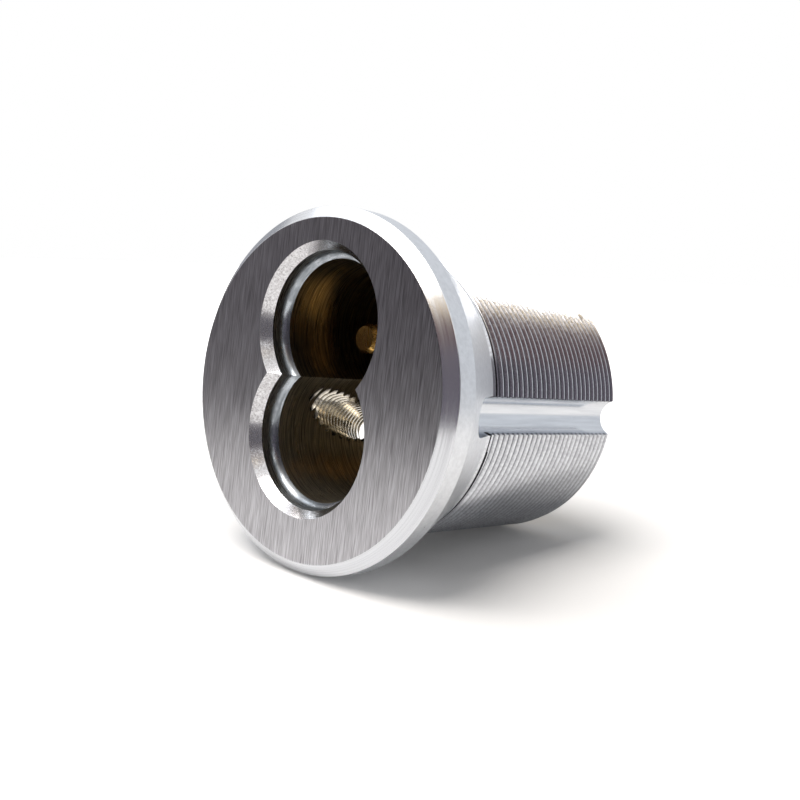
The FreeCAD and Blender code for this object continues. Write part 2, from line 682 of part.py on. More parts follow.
for item in doc.Objects:
    if "Invalid" in item.State or "Error" in item.State:
        raise RuntimeError("%s did not compute: %s" % (item.Name, item.State))

os.makedirs("parts", exist_ok=True)
for piece in pieces:
    shape = piece.Shape
    if shape.isNull() or not shape.isValid():
        raise RuntimeError("%s has no valid shape" % piece.Label)
    if len(shape.Solids) != 1:
        raise RuntimeError("%s has %d solids" % (piece.Label, len(shape.Solids)))
    shape.exportStep("parts/%s.step" % piece.Label)
    box = shape.BoundBox
    print("%-18s volume %9.2f  x %7.2f %7.2f  y %7.2f %7.2f  z %7.2f %7.2f" % (
        piece.Label, shape.Volume, box.XMin, box.XMax, box.YMin, box.YMax, box.ZMin, box.ZMax))
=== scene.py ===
import math

import bpy
from mathutils import Matrix, Vector


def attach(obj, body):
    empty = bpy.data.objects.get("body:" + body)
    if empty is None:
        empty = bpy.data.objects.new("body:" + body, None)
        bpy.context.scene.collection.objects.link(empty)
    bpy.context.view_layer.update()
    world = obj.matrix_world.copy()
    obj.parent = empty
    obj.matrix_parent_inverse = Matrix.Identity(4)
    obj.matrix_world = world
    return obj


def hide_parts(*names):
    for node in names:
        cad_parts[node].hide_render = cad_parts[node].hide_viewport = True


# Mortise cylinder housing, satin chrome on brass, lying on a white table.
# Sizes are millimetres and degrees; depths count from the front face, as on the drawing of the part.

MM = 0.001
ORIGIN_DEPTH = 21.0

# Turned blank.
RIM_RADIUS = 17.9
FACE_RADIUS = 16.7
BEVEL_END = 1.0
RIM_END = 3.1
TAPER_END = 9.5
LAND_RADIUS = 15.0
LAND_END = 9.95
# The land leans forward a little, so that it mirrors the dark curtains and not the lamp.
LAND_RISE = 0.3
LAND_DIP = 0.04
RELIEF_RADIUS = 14.1
RELIEF_END = 10.45
BODY_LENGTH = 31.75

# Thread, 32 turns to the inch.
THREAD_RADIUS = 14.68
THREAD_ROOT_RADIUS = 14.19
THREAD_PITCH = 25.4 / 32
THREAD_LEAD = 0.25
THREAD_CHAMFER = 0.45
THREAD_RUN_IN = 0.1
THREAD_CREST_BAND = 0.1
THREAD_TOOL_RISE = 0.25
THREAD_TURNS = 28
FLANK_ANGLE = 30.0

# Chamber: the plug's lobe above, the pins' lobe below. The cove is the step's hollow, as (radius, depth).
PLUG_HEIGHT = 6.3
PIN_LOBE_DROP = 4.2
LOBE_RADIUS = 6.8
FLANGE_WALL_RADIUS = 7.45
MOUTH_RADIUS = 8.2
MOUTH_END = 1.1
COVE = [(7.45, 2.05), (7.4, 2.32), (7.26, 2.54), (7.05, 2.7), (6.8, 2.8)]
CHAMBER_DEPTH = 25.0

# Recess for the core's lug; its sides are angles about the plug lobe, up from the right.
LUG_RADIUS = 8.9
LUG_START = 10.0
LUG_END = 16.0
LUG_LOW_ANGLE = -78.0
LUG_HIGH_ANGLE = -18.0

# Web behind the chamber, and the throw member's bore in it.
WEB_END = 26.5
WEB_RADIUS = 5.3
THROW_BORE_RADIUS = 6.6
RING_GROOVE_START = 28.3
RING_GROOVE_END = 29.2
RING_GROOVE_RADIUS = 7.1
BORE_CHAMFER = 0.3

# Set-screw grooves.
SIDE_GROOVE_RADIUS = 1.87
SIDE_GROOVE_CENTRE = 14.9
SIDE_GROOVE_START = 6.9

# Tapped hole. The real thread is finer; at the size of the picture its turns would run together.
TAP_RADIUS = 2.05
TAP_MAJOR_RADIUS = 2.42
TAP_PITCH = 25.4 / 24
TAP_TURNS = 48
TAP_FIRST_TURN = 4
TAP_LAST_TURN = 46
TAP_CROSS_DEPTH = 1.6
TAP_TILT = 28.0
TAP_ROLL = 27.2

# Cam and its screws.
HUB_END = 32.05
CAM_END = 33.65
CAM_HUB_RADIUS = 7.0
CAM_TIP_RADIUS = 4.2
CAM_TIP_DROP = 9.3
CAM_EDGE = 0.15
CAM_HOLE_RADIUS = 1.6
SCREW_OFFSET = 3.3
SCREW_START = 28.85
SCREW_RADIUS = 1.42
SCREW_EDGE = 0.05
HEAD_RADIUS = 2.6
HEAD_END = 35.15
HEAD_EDGE = 0.35
SCREW_SLOT = 0.7
SCREW_SLOT_DEPTH = 0.8

# Edge breaks, how far a cutting tool stands clear of the part, and the width that tells one zone of finish from
# the next.
EDGE = 0.08
OVERRUN = 1.0
SLIVER = 0.02
# Points nearer than this are one, in metres.
SNAP = 0.0005 * MM
SMOOTH_ANGLE = 28.0


def place(x, depth, z):
    """A point of the drawing, in the frame's metres."""
    return Vector((x * MM, (depth - ORIGIN_DEPTH) * MM, z * MM))


# Modelling.

def active(obj):
    bpy.ops.object.select_all(action="DESELECT")
    obj.select_set(True)
    bpy.context.view_layer.objects.active = obj


def edit_all():
    bpy.ops.object.mode_set(mode="EDIT")
    bpy.ops.mesh.select_all(action="SELECT")


def close_surface():
    """In edit mode: doubles merged, every face turned outwards."""
    bpy.ops.mesh.select_all(action="SELECT")
    bpy.ops.mesh.remove_doubles(threshold=SNAP)
    bpy.ops.mesh.normals_make_consistent(inside=False)


def draw_line(name, corners):
    """A point drawn on from corner to corner; the object is left in edit mode."""
    bpy.ops.object.select_all(action="DESELECT")
    bpy.ops.mesh.primitive_plane_add(size=MM, location=(0, 0, 0))
    obj = bpy.context.object
    obj.name = name
    edit_all()
    bpy.ops.mesh.merge(type="CENTER")
    bpy.ops.transform.translate(value=corners[0])
    for start, end in zip(corners, corners[1:]):
        bpy.ops.mesh.extrude_region_move(TRANSFORM_OT_translate={"value": end - start})
    return obj


def turned(name, profile, height=0.0, along=0.0, steps=192, edge_break=0.0):
    """Lathe work about a line along Y: profile is (radius, depth) from axis to axis, front to back."""
    corners = [place(along + radius, depth, height) for radius, depth in profile]
    obj = draw_line(name, corners)
    if edge_break:
        bpy.ops.object.mode_set(mode="OBJECT")
        ends = (corners[0], corners[-1])
        for vertex in obj.data.vertices:
            vertex.select = all((vertex.co - end).length > EDGE * MM for end in ends)
        bpy.ops.object.mode_set(mode="EDIT")
        bpy.ops.mesh.bevel(offset=edge_break * MM, segments=2, affect="VERTICES")
    bpy.ops.mesh.select_all(action="SELECT")
    bpy.ops.mesh.spin(steps=steps, angle=2 * math.pi, center=place(along, 0, height), axis=(0, 1, 0))
    close_surface()
    bpy.ops.object.mode_set(mode="OBJECT")
    return obj


def disc(radius, start, end):
    """Profile of a plain disc between two depths."""
    return [(0, start), (radius, start), (radius, end), (0, end)]


def wound(name, corners, pitch, turns, steps, closed):
    """A section wound round the Y axis as a thread is; a closed section gets its two ends filled."""
    obj = draw_line(name, [Vector((radius * MM, along * MM, 0)) for radius, along in corners])
    if closed:
        bpy.ops.mesh.select_all(action="SELECT")
        bpy.ops.mesh.edge_face_add()
        bpy.ops.mesh.delete(type="ONLY_FACE")
    bpy.ops.object.mode_set(mode="OBJECT")
    winding = obj.modifiers.new("winding", "SCREW")
    winding.axis = "Y"
    winding.screw_offset = pitch * MM
    winding.iterations = turns
    winding.steps = steps
    winding.render_steps = steps
    winding.use_merge_vertices = not closed
    winding.merge_threshold = SNAP
    bpy.ops.object.modifier_apply(modifier=winding.name)
    edit_all()
    bpy.ops.mesh.remove_doubles(threshold=SNAP)
    if closed:
        bpy.ops.mesh.select_all(action="DESELECT")
        bpy.ops.mesh.select_non_manifold()
        bpy.ops.mesh.edge_face_add()
    close_surface()
    bpy.ops.object.mode_set(mode="OBJECT")
    return obj


def sawn(obj, point, normal):
    """Saws off what lies on the side the normal points to and closes the cut."""
    active(obj)
    edit_all()
    bpy.ops.mesh.bisect(plane_co=point, plane_no=normal, use_fill=True, clear_outer=True, threshold=SNAP)
    close_surface()
    bpy.ops.object.mode_set(mode="OBJECT")


def finish_with(obj, *materials):
    obj.data.materials.clear()
    for material in materials:
        obj.data.materials.append(material)


def finish_by_depth(obj, depths, slots):
    """The depths part the surface into zones, and each zone takes its own of the material slots."""
    ends = [place(0, depth, 0).y for depth in depths]
    for face in obj.data.polygons:
        face.material_index = slots[sum(face.center.y > end for end in ends)]


def cut_with(obj, tool):
    """Takes the tool's shape away from obj; the cut faces keep the tool's material."""
    active(obj)
    cut = obj.modifiers.new("cut", "BOOLEAN")
    cut.operation = "DIFFERENCE"
    cut.solver = "MANIFOLD"
    cut.material_mode = "TRANSFER"
    cut.object = tool
    bpy.ops.object.modifier_apply(modifier=cut.name)
    bpy.data.objects.remove(tool)


def smooth(obj):
    """Round surfaces look round, flat ones stay flat right up to their small edge breaks."""
    active(obj)
    bpy.ops.object.shade_smooth_by_angle(angle=math.radians(SMOOTH_ANGLE))
    flatten = obj.modifiers.new("flatten", "WEIGHTED_NORMAL")
    flatten.keep_sharp = True
    bpy.ops.object.modifier_apply(modifier=flatten.name)


# Materials.

# Small pits: where a pit starts and where it is fully dark, from its middle, as shares of the distance between pits.
PIT_EDGE = 0.05
PIT_FLOOR = 0.02
PIT_SHADE = "5c5c60"
# They come in patches, where the wide marks are strong.
PATCH_START = 0.5
PATCH_FULL = 0.56


def colour(code):
    """sRGB hex to linear."""
    parts = [int(code[start:start + 2], 16) / 255 for start in (0, 2, 4)]
    return (*[part / 12.92 if part <= 0.04045 else ((part + 0.055) / 1.055) ** 2.4 for part in parts], 1.0)


def node(tree, kind, inputs=(), **settings):
    """Adds one node, with its settings and with (socket, value or other node's output) pairs."""
    made = tree.nodes.new(kind)
    for name, value in settings.items():
        setattr(made, name, value)
    for socket, value in inputs:
        if isinstance(value, bpy.types.NodeSocket):
            tree.links.new(value, made.inputs[socket])
        else:
            made.inputs[socket].default_value = value
    return made


def new_material(name):
    material = bpy.data.materials.new(name)
    material.use_nodes = True
    material.node_tree.nodes.clear()
    return material, material.node_tree


def round_the_lathe(tree, position, height):
    """Coordinates for rings round the line along Y at a height: the distance from that line is added to Y."""
    flat = node(tree, "ShaderNodeVectorMath", operation="MULTIPLY_ADD", inputs=[
        (0, position), (1, (1, 0, 1)), (2, (0, 0, -height * MM))])
    radius = node(tree, "ShaderNodeVectorMath", [(0, flat.outputs[0])], operation="LENGTH")
    away = node(tree, "ShaderNodeCombineXYZ", [("Y", radius.outputs["Value"])])
    return node(tree, "ShaderNodeVectorMath", [(0, position), (1, away.outputs[0])], operation="ADD").outputs[0]


def painted_shade_about_axis(tree, position, paint, start, along, full, end, shade):
    """Paint darkened by painted shade about the axis that starts at a point and runs along a direction: full at one
    radius, gone at the other."""
    offset = node(tree, "ShaderNodeVectorMath", [(0, position), (1, start)], operation="SUBTRACT")
    square = node(tree, "ShaderNodeVectorMath", [(0, offset.outputs[0]), (1, along)], operation="CROSS_PRODUCT")
    reach = node(tree, "ShaderNodeVectorMath", [(0, square.outputs[0])], operation="LENGTH")
    unshaded_share = node(tree, "ShaderNodeMapRange", [
        ("Value", reach.outputs["Value"]), ("From Min", full * MM), ("From Max", end * MM)])
    return node(tree, "ShaderNodeMix", data_type="RGBA", inputs=[
        ("Factor", unshaded_share.outputs["Result"]), (6, colour(shade)), (7, paint)]).outputs[2]


def pitted(tree, position, paint, distance, marks):
    """Paint with small dark pits some distance apart, in patches where the marks are strong."""
    spots = node(tree, "ShaderNodeTexVoronoi", [("Vector", position), ("Scale", 1 / (distance * MM))])
    inside = node(tree, "ShaderNodeMapRange", [
        ("Value", spots.outputs["Distance"]), ("From Min", PIT_EDGE), ("From Max", PIT_FLOOR)])
    patch = node(tree, "ShaderNodeMapRange", [
        ("Value", marks), ("From Min", PATCH_START), ("From Max", PATCH_FULL)])
    pit = node(tree, "ShaderNodeMath", [(0, inside.outputs[0]), (1, patch.outputs[0])], operation="MULTIPLY")
    return node(tree, "ShaderNodeMix", data_type="RGBA", inputs=[
        ("Factor", pit.outputs[0]), (6, paint), (7, colour(PIT_SHADE))]).outputs[2]


def metal(name, light, dark, cell, groove, rough, contrast=0.12, bands=0.25, tilt=0.0, lathe_height=None,
          painted_shade=None, across=None, pits=None):
    """Plated or bare metal with tool marks.

    light and dark are its colours on and between the marks, and rough its roughness there. cell is the size of one
    mark in mm along X, Y and Z, and groove its depth. contrast is how wide the change from light to dark is, bands
    how much of the pattern comes from marks five times as wide, and tilt turns it about Y. With lathe_height the
    marks are rings round the line along Y at that height. painted_shade darkens the colour about an axis as painted
    shade: it gives the axis (start and direction), the radius where the shade is full, the radius where it ends, and
    its colour. across is the direction across the marks: that way reflections are drawn out, along the marks they
    stay crisp. pits is the distance between small dark pits.
    """
    material, tree = new_material(name)
    on_piece = node(tree, "ShaderNodeTexCoord").outputs["Object"]
    position = on_piece if lathe_height is None else round_the_lathe(tree, on_piece, lathe_height)
    layers = []
    for share, settings in ((1, [("Detail", 2.0), ("Roughness", 0.65)]), (0.2, [("Detail", 3.0)])):
        laid = node(tree, "ShaderNodeMapping", [
            ("Vector", position), ("Rotation", (0, math.radians(tilt), 0)),
            ("Scale", [share / (size * MM) for size in cell])])
        noise = node(tree, "ShaderNodeTexNoise", [("Vector", laid.outputs[0]), ("Scale", 1.0), *settings])
        layers.append(noise.outputs["Fac"])
    fine, wide = layers
    marks = node(tree, "ShaderNodeMix", [("Factor", bands), ("A", fine), ("B", wide)], data_type="FLOAT").outputs[0]

    tint = node(tree, "ShaderNodeValToRGB", [("Fac", marks)])
    for stop, side, shade in zip(tint.color_ramp.elements, (-1, 1), (dark, light)):
        stop.position = 0.5 + side * contrast
        stop.color = colour(shade)
    paint = tint.outputs["Color"]
    # Painted shade: the colour darkens towards one radius about an axis.
    if painted_shade:
        paint = painted_shade_about_axis(tree, on_piece, paint, *painted_shade)
    if pits:
        paint = pitted(tree, on_piece, paint, pits, wide)
    roughness = node(tree, "ShaderNodeMapRange", [
        ("Value", marks), ("From Min", 0.5 - contrast), ("From Max", 0.5 + contrast),
        ("To Min", rough[1]), ("To Max", rough[0])])
    bump = node(tree, "ShaderNodeBump", [("Height", fine), ("Strength", 1.0), ("Distance", groove * MM)])
    shader = node(tree, "ShaderNodeBsdfPrincipled", [
        ("Base Color", paint), ("Metallic", 1.0), ("Roughness", roughness.outputs["Result"]),
        ("Normal", bump.outputs["Normal"])])
    if across:
        # A tangent counts only when it is linked, so this constant comes from a node.
        tangent = node(tree, "ShaderNodeCombineXYZ", zip("XYZ", across))
        tree.links.new(tangent.outputs[0], shader.inputs["Tangent"])
        shader.inputs["Anisotropic"].default_value = 0.8
    node(tree, "ShaderNodeOutputMaterial", [("Surface", shader.outputs["BSDF"])])
    return material


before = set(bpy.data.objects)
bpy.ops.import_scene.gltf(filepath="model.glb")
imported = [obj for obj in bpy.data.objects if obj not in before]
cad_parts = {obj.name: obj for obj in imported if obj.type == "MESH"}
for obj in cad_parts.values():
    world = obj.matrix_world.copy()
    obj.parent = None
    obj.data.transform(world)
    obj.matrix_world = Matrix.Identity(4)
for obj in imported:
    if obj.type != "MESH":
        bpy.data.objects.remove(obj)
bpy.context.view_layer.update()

LOBE_HEIGHTS = {"plug": PLUG_HEIGHT, "pin": -PIN_LOBE_DROP}
BODY_AXIS = ((0, 0, 0), (0, 1, 0))
tap_turn = Matrix.Rotation(math.radians(-TAP_ROLL), 4, "Y") @ Matrix.Rotation(math.radians(TAP_TILT), 4, "Z")
tap_start = place(0, -TAP_CROSS_DEPTH, 0)
tap_axis = (tap_start, tap_turn @ Vector((0, 1, 0)))

# Satin chrome on the front face: belt-brushed, so a near-vertical grain of fine dark and light lines. The real
# scratches are some 0.03 mm wide; they are drawn 0.12 mm wide to show.
brushed_face = metal(
    "satin_chrome_brushed", "d8d8dc", "98969a", cell=(0.12, 0.12, 4.0), groove=0.0008, rough=(0.38, 0.3),
    contrast=0.14, bands=0.14, tilt=5.0, across=(1, 0, 0))
# Satin chrome on the turned bevel and rear face: bright, with faint rings. The tool's feed is about 0.1 mm; its
# rings are drawn 0.3 mm apart to show.
turned_chrome = metal(
    "satin_chrome_turned", "dee0e4", "ced0d4", cell=(24, 0.3, 24), groove=0.0006, rough=(0.16, 0.26),
    lathe_height=0, pits=1.5)
# Satin chrome, finely blasted, on the rim and its taper: an even pale grey that mirrors nothing sharply. The real
# grit leaves marks of 0.05 mm; they are drawn 0.5 mm wide.
blasted_chrome = metal(
    "satin_chrome_blasted", "e8eaed", "dee0e3", cell=(0.5, 0.5, 0.5), groove=0.0006, rough=(0.32, 0.38), pits=1.5)
# Satin chrome on the cut thread: sharp bright crests, and roots painted dark: painted shade down in the grooves.
thread_chrome = metal(
    "satin_chrome_thread", "e4e6ea", "cccdd2", cell=(0.25, 0.25, 0.25), groove=0.0012, rough=(0.12, 0.24),
    painted_shade=(*BODY_AXIS, THREAD_ROOT_RADIUS + 0.02, THREAD_RADIUS - 0.06, "303036"))
# Satin chrome down in the narrow relief before the thread, painted nearly black: painted shade for the shadow gap
# between the land and the first thread crest.
relief_painted_shade = metal(
    "satin_chrome_relief_painted_shade", "4a4a4e", "2c2c30", cell=(0.25, 0.25, 0.25), groove=0.0006, rough=(0.34, 0.44))
# Satin chrome over a ball-nosed milling cut: a soft mirror along the cut, painted darker towards its lips: painted
# shade at the cut's edges.
milled_chrome = metal(
    "satin_chrome_milled", "e4e7eb", "d8dbe0", cell=(0.4, 8, 0.4), groove=0.0004, rough=(0.14, 0.2),
    painted_shade=(*BODY_AXIS, THREAD_RADIUS + 0.05, THREAD_RADIUS - 0.95, "767c88"), across=(0, 0, 1))
# Chrome over the mouth's bevel: bright, with coarse tool marks that sparkle.
mouth_chrome = metal(
    "satin_chrome_mouth", "e2e2e4", "b8b6b8", cell=(0.22, 0.22, 0.22), groove=0.003, rough=(0.14, 0.28))
# Chrome thinning out on the flange's inner wall: dark, with clear rings from the boring tool, 0.15 mm apart.
bored_chrome = {lobe: metal(
    "satin_chrome_bored_" + lobe, "c4c4c2", "4e4c48", cell=(2.2, 0.15, 2.2), groove=0.009, rough=(0.26, 0.4),
    lathe_height=height) for lobe, height in LOBE_HEIGHTS.items()}
# Chrome over the step at its bottom: a cool grey, with reflections drawn out by finer rings.
step_chrome = {lobe: metal(
    "satin_chrome_step_" + lobe, "bcc2c8", "868c92", cell=(1.6, 0.16, 1.6), groove=0.003, rough=(0.24, 0.34),
    lathe_height=height, across=(0, 1, 0)) for lobe, height in LOBE_HEIGHTS.items()}
# Brass deep in the bore, where the plating is thin: brown, dull, with spiral tool marks 0.15 mm apart. The pin
# lobe's copy is painted paler: painted light for the light that reaches that lobe.
bored_brass = {lobe: metal(
    "brass_bored_" + lobe, light, dark, cell=(5, 0.15, 5), groove=0.008, rough=(0.26, 0.4), contrast=0.14,
    bands=0.2, lathe_height=LOBE_HEIGHTS[lobe])
    for lobe, light, dark in (("plug", "ac9a7a", "48423a"), ("pin", "e0d8c6", "8c8474"))}
# Nickel under the chrome shows in the tapped hole: warm and bright. Its thread's roots are painted dark: painted
# shade down in the grooves.
tapped_nickel = metal(
    "nickel_tapped", "ece6da", "d2ccbe", cell=(0.3, 0.3, 0.3), groove=0.0006, rough=(0.08, 0.16),
    painted_shade=(*tap_axis, TAP_MAJOR_RADIUS - 0.03, TAP_RADIUS + 0.06, "2a251e"))
# Free-cutting brass, turned and left bare: golden, with rings 0.2 mm apart.
bare_brass = metal(
    "brass_turned", "e2c488", "c09a56", cell=(2, 0.2, 2), groove=0.002, rough=(0.18, 0.3),
    lathe_height=PLUG_HEIGHT)
# Cam brass, blanked from strip and tumbled: matt yellow with a faint rolling grain, drawn 0.3 mm wide to show.
cam_brass = metal(
    "brass_blanked", "cdb37e", "c2a46c", cell=(0.3, 0.3, 2.0), groove=0.0006, rough=(0.3, 0.36), contrast=0.16)
# Zinc-plated steel screws: cool and light, faintly mottled.
plated_steel = metal(
    "zinc_plated_steel", "c2c6ca", "b2b6ba", cell=(0.8, 0.2, 0.8), groove=0.001, rough=(0.22, 0.3))
# Spring steel, oiled and dark, with the strip's rolling grain, drawn 0.2 mm wide to show.
spring_steel = metal(
    "spring_steel_oiled", "747472", "4c4b4a", cell=(1.5, 1.5, 0.2), groove=0.002, rough=(0.26, 0.38))

# The housing: turned blank, then every cut in the order a machinist makes them.

housing = turned("housing_shell", [
    (0, 0), (FACE_RADIUS, 0), (RIM_RADIUS, BEVEL_END), (RIM_RADIUS, RIM_END), (LAND_RADIUS, TAPER_END),
    (LAND_RADIUS - LAND_RISE, TAPER_END + LAND_DIP), (LAND_RADIUS, LAND_END), (RELIEF_RADIUS, LAND_END),
    (RELIEF_RADIUS, RELIEF_END), (THREAD_RADIUS, RELIEF_END + THREAD_LEAD),
    (THREAD_RADIUS, BODY_LENGTH - THREAD_CHAMFER), (THREAD_RADIUS - THREAD_CHAMFER, BODY_LENGTH),
    (0, BODY_LENGTH)], steps=256, edge_break=EDGE)
finish_with(housing, brushed_face, turned_chrome, blasted_chrome, thread_chrome, relief_painted_shade)
FACE_SLOT, TURNED_SLOT, BLASTED_SLOT, THREAD_SLOT, RELIEF_SLOT = range(5)

# Thread groove: a 60 degree tool that leaves crests of an eighth of the pitch, starts in the relief and runs out
# past the rear face.
half_top = (THREAD_PITCH - THREAD_PITCH / 8) / 2
half_root = half_top - (THREAD_RADIUS - THREAD_ROOT_RADIUS) * math.tan(math.radians(FLANK_ANGLE))
thread_begin = RELIEF_END - ORIGIN_DEPTH - THREAD_RUN_IN
groove_tool = wound("thread_tool", [
    (THREAD_ROOT_RADIUS, thread_begin - half_root), (THREAD_ROOT_RADIUS, thread_begin + half_root),
    (THREAD_RADIUS, thread_begin + half_top), (THREAD_RADIUS + THREAD_TOOL_RISE, thread_begin + half_top),
    (THREAD_RADIUS + THREAD_TOOL_RISE, thread_begin - half_top), (THREAD_RADIUS, thread_begin - half_top)],
    THREAD_PITCH, THREAD_TURNS, steps=128, closed=True)
finish_with(groove_tool, thread_chrome)
cut_with(housing, groove_tool)

# Zones: face, bevel, rim and taper, land, relief and the thread's run-in, thread, rear face.
finish_by_depth(housing, (SLIVER, BEVEL_END + SLIVER, TAPER_END + SLIVER, LAND_END - SLIVER,
                          RELIEF_END + THREAD_LEAD + THREAD_RUN_IN, BODY_LENGTH - SLIVER),
                slots=(FACE_SLOT, TURNED_SLOT, BLASTED_SLOT, THREAD_SLOT, RELIEF_SLOT, THREAD_SLOT, TURNED_SLOT))
# In the run-in the crests and rear flanks keep the thread's finish.
relief_back = place(0, RELIEF_END + SLIVER, 0).y
for face in housing.data.polygons:
    on_crest = math.hypot(face.center.x, face.center.z) > (THREAD_RADIUS - THREAD_CREST_BAND) * MM
    on_rear_flank = face.center.y > relief_back and face.normal.y > 0
    if face.material_index == RELIEF_SLOT and (on_crest or on_rear_flank):
        face.material_index = THREAD_SLOT

# Chamber: two lobes, each with its bevelled mouth, flange wall and step.
for lobe, height in LOBE_HEIGHTS.items():
    lobe_tool = turned(lobe + "_lobe_tool", [
        (0, -OVERRUN), (MOUTH_RADIUS, -OVERRUN), (MOUTH_RADIUS, 0), (FLANGE_WALL_RADIUS, MOUTH_END),
        *COVE, (LOBE_RADIUS, CHAMBER_DEPTH), (0, CHAMBER_DEPTH)], height)
    finish_with(lobe_tool, mouth_chrome, bored_chrome[lobe], step_chrome[lobe], bored_brass[lobe])
    finish_by_depth(lobe_tool, (MOUTH_END, COVE[0][1], COVE[-1][1] + SLIVER), slots=(0, 1, 2, 3))
    cut_with(housing, lobe_tool)

# Bore for the throw member, with the ring's groove.
throw_tool = turned("throw_bore_tool", [
    (0, CHAMBER_DEPTH - OVERRUN), (WEB_RADIUS, CHAMBER_DEPTH - OVERRUN), (WEB_RADIUS, WEB_END),
    (THROW_BORE_RADIUS, WEB_END), (THROW_BORE_RADIUS, RING_GROOVE_START), (RING_GROOVE_RADIUS, RING_GROOVE_START),
    (RING_GROOVE_RADIUS, RING_GROOVE_END), (THROW_BORE_RADIUS, RING_GROOVE_END),
    (THROW_BORE_RADIUS, BODY_LENGTH - BORE_CHAMFER), (THROW_BORE_RADIUS + BORE_CHAMFER, BODY_LENGTH),
    (THROW_BORE_RADIUS + BORE_CHAMFER, BODY_LENGTH + OVERRUN), (0, BODY_LENGTH + OVERRUN)], PLUG_HEIGHT)
finish_with(throw_tool, bored_brass["plug"])
cut_with(housing, throw_tool)

# Recess for the core's lug: a disc sawn down to the sector between its two sides.
lug_tool = turned("lug_tool", disc(LUG_RADIUS, LUG_START, LUG_END), PLUG_HEIGHT)
for angle, side in ((LUG_HIGH_ANGLE, 1), (LUG_LOW_ANGLE, -1)):
    turn = math.radians(angle)
    sawn(lug_tool, place(0, LUG_START, PLUG_HEIGHT), Vector((-math.sin(turn), 0, math.cos(turn))) * side)
finish_with(lug_tool, bored_brass["plug"])
cut_with(housing, lug_tool)

# Tapped hole: a threaded rod, laid along the slanting line, is taken away.
rise = (TAP_MAJOR_RADIUS - TAP_RADIUS) * math.tan(math.radians(FLANK_ANGLE))
flat = (TAP_PITCH - 2 * rise) / 2
tap_tool = wound("tap_tool", [
    (TAP_RADIUS, 0), (TAP_RADIUS, flat), (TAP_MAJOR_RADIUS, flat + rise), (TAP_MAJOR_RADIUS, 2 * flat + rise),
    (TAP_RADIUS, TAP_PITCH)], TAP_PITCH, TAP_TURNS, steps=64, closed=False)
for turns, side in ((TAP_FIRST_TURN, -1), (TAP_LAST_TURN, 1)):
    sawn(tap_tool, Vector((0, TAP_PITCH * turns * MM, 0)), Vector((0, side, 0)))
tap_tool.matrix_world = Matrix.Translation(tap_start) @ tap_turn
active(tap_tool)
bpy.ops.object.transform_apply(location=True, rotation=True, scale=True)
finish_with(tap_tool, tapped_nickel)
cut_with(housing, tap_tool)


def side_groove(name, side):
    """Ball-nosed cut: half a turned capsule, its open side drawn straight out past the rim."""
    angles = [math.radians(step) for step in range(0, 91, 6)]
    nose = [(SIDE_GROOVE_RADIUS * math.sin(angle), SIDE_GROOVE_START - SIDE_GROOVE_RADIUS * math.cos(angle))
            for angle in angles]
    tool = turned(name, nose + [(SIDE_GROOVE_RADIUS, BODY_LENGTH + OVERRUN), (0, BODY_LENGTH + OVERRUN)],
                  along=SIDE_GROOVE_CENTRE, steps=96)
    edit_all()
    bpy.ops.mesh.bisect(plane_co=(SIDE_GROOVE_CENTRE * MM, 0, 0), plane_no=(1, 0, 0), clear_outer=True,
                        threshold=SNAP)
    bpy.ops.mesh.select_all(action="DESELECT")
    bpy.ops.mesh.select_non_manifold()
    bpy.ops.mesh.extrude_region_move(
        TRANSFORM_OT_translate={"value": ((RIM_RADIUS + OVERRUN - SIDE_GROOVE_CENTRE) * MM, 0, 0)})
    bpy.ops.mesh.edge_face_add()
    close_surface()
    bpy.ops.object.mode_set(mode="OBJECT")
    if side < 0:
        tool.scale.x = -1
        bpy.ops.object.transform_apply(location=True, rotation=True, scale=True)
        bpy.ops.object.mode_set(mode="EDIT")
        close_surface()
        bpy.ops.object.mode_set(mode="OBJECT")
    finish_with(tool, milled_chrome)
    return tool


cut_with(housing, side_groove("right_groove_tool", 1))
cut_with(housing, side_groove("left_groove_tool", -1))
smooth(housing)
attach(housing, "housing_body")
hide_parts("housing")

# The throw member, its pins and the ring are the solids themselves.

for name, material in (("throw_member", bare_brass), ("throw_pin_right", bare_brass), ("throw_pin_left", bare_brass),
                       ("retaining_ring", spring_steel)):
    finish_with(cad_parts[name], material)

# Cam: two discs spanned by one flat teardrop, its outline broken, with two screw holes through it.

cam = turned("cam_plate", disc(CAM_HUB_RADIUS, HUB_END, CAM_END), PLUG_HEIGHT, steps=128)
tip = turned("cam_tip", disc(CAM_TIP_RADIUS, HUB_END, CAM_END), -CAM_TIP_DROP, steps=128)
active(cam)
tip.select_set(True)
bpy.ops.object.join()
edit_all()
bpy.ops.mesh.convex_hull()
bpy.ops.mesh.select_all(action="SELECT")
bpy.ops.mesh.dissolve_limited(angle_limit=math.radians(1))
close_surface()
bpy.ops.mesh.select_all(action="DESELECT")
bpy.ops.object.mode_set(mode="OBJECT")
middle = place(0, (HUB_END + CAM_END) / 2, 0).y
for edge in cam.data.edges:
    start, end = [cam.data.vertices[index].co.y for index in edge.vertices]
    edge.select = (start - middle) * (end - middle) > 0
bpy.ops.object.mode_set(mode="EDIT")
bpy.ops.mesh.bevel(offset=CAM_EDGE * MM, segments=3, affect="EDGES")
close_surface()
bpy.ops.object.mode_set(mode="OBJECT")
finish_with(cam, cam_brass)
